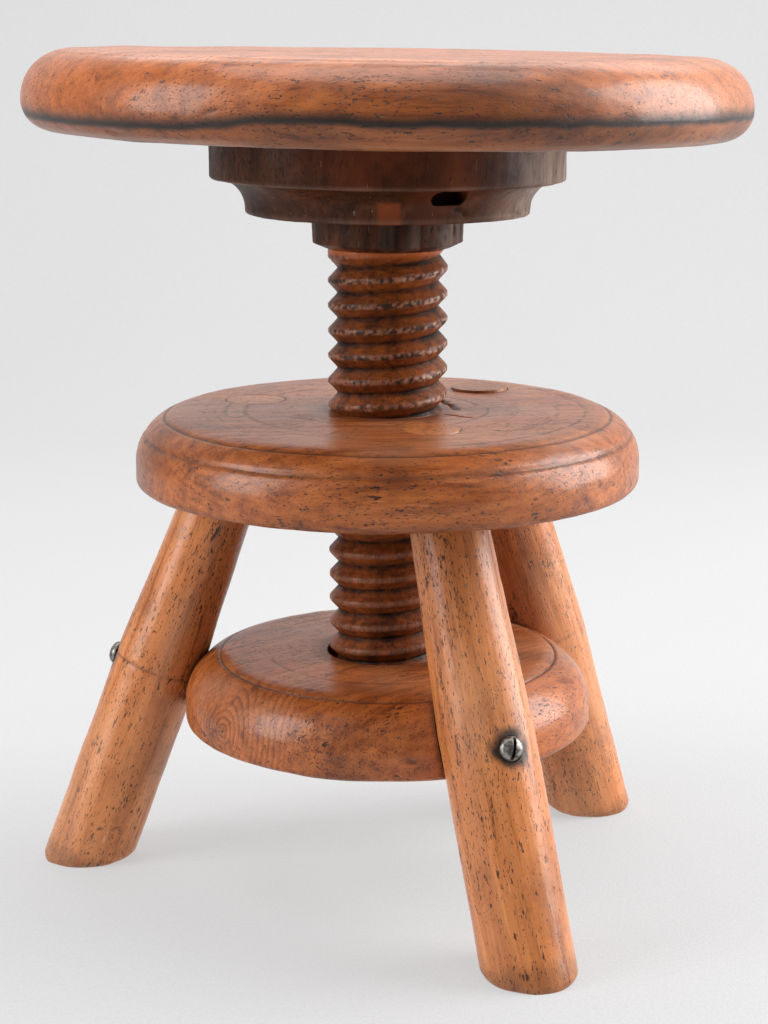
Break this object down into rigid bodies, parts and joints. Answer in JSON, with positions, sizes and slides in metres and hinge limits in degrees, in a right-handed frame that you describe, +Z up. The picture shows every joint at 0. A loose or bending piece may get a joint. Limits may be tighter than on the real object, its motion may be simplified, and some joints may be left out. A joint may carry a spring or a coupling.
{
  "type": "adjustable swivel stool",
  "caption": "Low turned-wood stool: thick round seat on a threaded wooden spindle that winds up and down through a hub carried on splayed round legs.",
  "frame": {"origin": "on the floor, on the spindle's axis", "axes": "+Z up along the spindle; the front leg is on the -Y side, +X to the right seen from the front"},
  "size_m": [0.346, 0.34, 0.403],
  "materials": {
    "seat_wood": "waxed and worn, satin",
    "dark_wood": "dark patina, satin",
    "spindle_wood": "waxed, worn crests",
    "base_wood": "waxed and worn, satin",
    "leg_wood": "waxed and worn, satin",
    "peg_wood": "dark, matt",
    "screw_steel": "darkened steel, dull"
  },
  "bodies": {
    "base": {"hub": "base_wood", "lower_disc": "base_wood", "leg_1": "leg_wood", "leg_2": "leg_wood", "leg_3": "leg_wood", "leg_screw_1": "screw_steel", "leg_screw_2": "screw_steel", "leg_screw_3": "screw_steel"},
    "lift": {"collar": "dark_wood"},
    "seat_assembly": {"spindle": "spindle_wood", "seat_boss": "dark_wood", "seat": "seat_wood", "boss_screw_1": "screw_steel", "boss_screw_2": "screw_steel", "boss_screw_3": "screw_steel", "boss_screw_4": "screw_steel", "tenon_peg": "peg_wood"}
  },
  "joints": [
    {"name": "seat_rise", "type": "slide", "parent": "base", "child": "lift", "axis": [0, 0, 1], "range_m": [-0.036, 0.048]},
    {"name": "seat_turn", "type": "hinge", "parent": "lift", "child": "seat_assembly", "pos_m": [0, 0, 0.3], "axis": [0, 0, 1], "range_deg": [-1080, 1440]}
  ],
  "couplings": [
    {"joint": "seat_rise", "follows": "seat_turn", "m_per_rad": 0.0019099}
  ]
}
